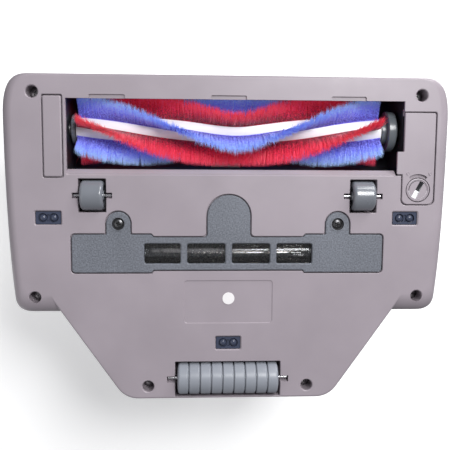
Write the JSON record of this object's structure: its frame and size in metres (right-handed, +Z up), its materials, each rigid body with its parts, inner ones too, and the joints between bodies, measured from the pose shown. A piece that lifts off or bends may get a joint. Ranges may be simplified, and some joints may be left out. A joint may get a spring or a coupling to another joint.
{
  "type": "handheld carpet sweeper",
  "caption": "Hand-held bed and carpet sweeper with a driven brush roll, ultraviolet lamp under a slotted cover, clear dust cup, arched handle, front wheels and a rear roller.",
  "frame": {"origin": "on the floor under the wheels, at the middle of the casing's width and depth", "axes": "+X along the width, towards the brush cover with the coin lock; +Y from the brush towards the handle's rear; +Z up"},
  "size_m": [0.309, 0.227, 0.1412],
  "materials": {
    "casing": "fine satin, greyish mauve",
    "upper_casing": "smooth satin gloss, pale warm grey",
    "dark_plastic": "fine texture, slate grey",
    "black_plastic": "moulded black",
    "steel": "turned and polished",
    "wheel_rubber": "semi-gloss grey",
    "roller_grey": "semi-gloss grey",
    "grip_rubber": "soft matt grey",
    "belt_rubber": "matt black",
    "bristle_blue": "nylon bristle, violet blue",
    "bristle_red": "nylon bristle, crimson",
    "core_white": "smooth white",
    "clear_plastic": "clear, smoke tinted",
    "lamp_glass": "clear quartz tube",
    "lamp_cap": "pressed end cap",
    "reflector": "bright folded sheet",
    "sensor_lens": "dark clear lenses on a grey block",
    "red_button": "smooth red",
    "motor_can": "zinc plated can",
    "filter_medium": "pleated paper and mesh",
    "battery_blue": "shrink sleeve",
    "board_green": "solder resist"
  },
  "bodies": {
    "casing": {"base_shell": "casing", "belt_cover": "casing", "top_shell": "upper_casing", "handle": "upper_casing", "uv_cover": "dark_plastic", "exhaust_grille_left": "dark_plastic", "exhaust_grille_right": "dark_plastic", "brush_housing": "black_plastic", "brush_bearing_right": "black_plastic", "charge_socket": "black_plastic", "casing_screw_1": "steel", "casing_screw_2": "steel", "casing_screw_3": "steel", "casing_screw_4": "steel", "casing_screw_5": "steel", "casing_screw_6": "steel", "brush_bearing_left": "steel", "uv_cover_screw_left": "steel", "uv_cover_screw_right": "steel", "front_axle_left": "steel", "front_axle_right": "steel", "rear_axle": "steel", "handle_grip": "grip_rubber", "drive_belt": "belt_rubber", "uv_window": "clear_plastic", "uv_lamp": "lamp_glass", "lamp_cap_left": "lamp_cap", "lamp_cap_right": "lamp_cap", "uv_reflector": "reflector", "lift_sensor_left": "sensor_lens", "lift_sensor_right": "sensor_lens", "lift_sensor_rear": "sensor_lens", "brush_motor": "motor_can", "suction_motor": "motor_can", "battery_pack": "battery_blue", "control_board": "board_green"},
    "brush_roll": {"brush_core": "core_white", "brush_shaft": "steel", "brush_end_disc_left": "dark_plastic", "brush_end_disc_right": "dark_plastic", "brush_pulley": "black_plastic", "blue_bristles_1": "bristle_blue", "blue_bristles_2": "bristle_blue", "blue_bristles_3": "bristle_blue", "red_bristles_1": "bristle_red", "red_bristles_2": "bristle_red", "red_bristles_3": "bristle_red"},
    "brush_motor_rotor": {"motor_pulley": "steel"},
    "fan_rotor": {"fan_impeller": "upper_casing"},
    "wheel_left": {"front_wheel_left": "wheel_rubber"},
    "wheel_right": {"front_wheel_right": "wheel_rubber"},
    "rear_roll": {"rear_roller": "roller_grey"},
    "side_cover": {"brush_cover": "casing"},
    "coin_lock": {"brush_cover_lock": "casing"},
    "cup": {"dust_cup": "clear_plastic"},
    "cup_top": {"cup_lid": "upper_casing", "dust_filter": "filter_medium"},
    "latch": {"cup_latch": "dark_plastic"},
    "power_key": {"power_button": "red_button"},
    "mode_key": {"mode_button": "dark_plastic"}
  },
  "joints": [
    {"name": "brush_spin", "type": "hinge", "parent": "casing", "child": "brush_roll", "pos_m": [0, -0.0766, 0.03], "axis": [1, 0, 0], "continuous": true},
    {"name": "brush_motor_spin", "type": "hinge", "parent": "casing", "child": "brush_motor_rotor", "pos_m": [0, -0.014, 0.043], "axis": [1, 0, 0], "continuous": true},
    {"name": "fan_spin", "type": "hinge", "parent": "casing", "child": "fan_rotor", "pos_m": [0, 0.0425, 0.044], "axis": [0, 0, 1], "continuous": true},
    {"name": "wheel_left_roll", "type": "hinge", "parent": "casing", "child": "wheel_left", "pos_m": [-0.0932, -0.0312, 0.0103], "axis": [1, 0, 0], "continuous": true},
    {"name": "wheel_right_roll", "type": "hinge", "parent": "casing", "child": "wheel_right", "pos_m": [0.0932, -0.0312, 0.0103], "axis": [1, 0, 0], "continuous": true},
    {"name": "rear_roller_roll", "type": "hinge", "parent": "casing", "child": "rear_roll", "pos_m": [0, 0.0984, 0.0113], "axis": [1, 0, 0], "continuous": true},
    {"name": "brush_cover_lift_off", "type": "slide", "parent": "casing", "child": "side_cover", "axis": [0, 0, -1], "range_m": [0, 0.025]},
    {"name": "cover_lock_turn", "type": "hinge", "parent": "side_cover", "child": "coin_lock", "pos_m": [0.13135, -0.0358, 0.008], "axis": [0, 0, 1], "range_deg": [0, 90]},
    {"name": "dust_cup_lift_out", "type": "slide", "parent": "casing", "child": "cup", "axis": [0, 0, 1], "range_m": [0, 0.075]},
    {"name": "cup_lid_lift_off", "type": "slide", "parent": "cup", "child": "cup_top", "axis": [0, 0, 1], "range_m": [0, 0.07]},
    {"name": "cup_latch_press", "type": "slide", "parent": "casing", "child": "latch", "axis": [0, 0, -1], "range_m": [0, 0.002], "stiffness_N_per_m": 300},
    {"name": "power_button_press", "type": "slide", "parent": "casing", "child": "power_key", "axis": [0, 0, -1], "range_m": [0, 0.0014], "stiffness_N_per_m": 300},
    {"name": "mode_button_press", "type": "slide", "parent": "casing", "child": "mode_key", "axis": [0, 0, -1], "range_m": [0, 0.0014], "stiffness_N_per_m": 300}
  ],
  "couplings": [
    {"joint": "brush_motor_spin", "follows": "brush_spin", "ratio": 1.625}
  ]
}
